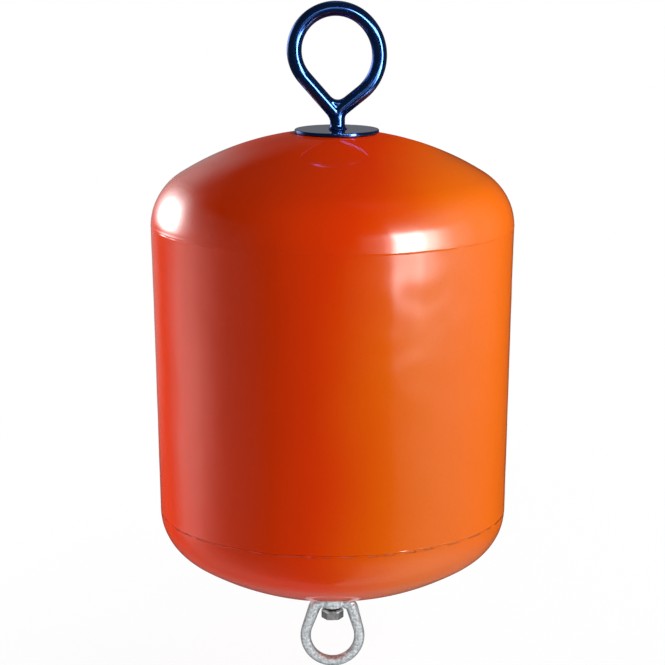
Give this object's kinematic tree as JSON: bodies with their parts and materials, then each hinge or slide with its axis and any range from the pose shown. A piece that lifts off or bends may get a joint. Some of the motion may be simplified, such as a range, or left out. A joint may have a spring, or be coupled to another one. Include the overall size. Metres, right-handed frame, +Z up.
{
  "type": "mooring buoy",
  "caption": "Round moulded float on a steel rod, with a drop-shaped lifting ring above and a turning swivel eye below.",
  "frame": {"origin": "on the float's axis, at the waterline of the moored buoy", "axes": "+Z up along the rod, ring and eye in the XZ plane, -Y towards the picture's camera"},
  "size_m": [0.401, 0.4008, 0.7601],
  "materials": {
    "orange_skin": "satin moulded",
    "blue_coating": "glossy coated",
    "galvanised_steel": "dipped zinc"
  },
  "bodies": {
    "buoy": {"float_skin": "orange_skin", "top_plate": "blue_coating", "lifting_ring": "blue_coating", "through_rod": "galvanised_steel", "bottom_plate": "galvanised_steel", "clamp_nut": "galvanised_steel", "end_nut": "galvanised_steel"},
    "eye": {"swivel_eye": "galvanised_steel"}
  },
  "joints": [
    {"name": "swivel_turn", "type": "hinge", "parent": "buoy", "child": "eye", "pos_m": [0, 0, -0.2472], "axis": [0, 0, 1], "continuous": true}
  ]
}
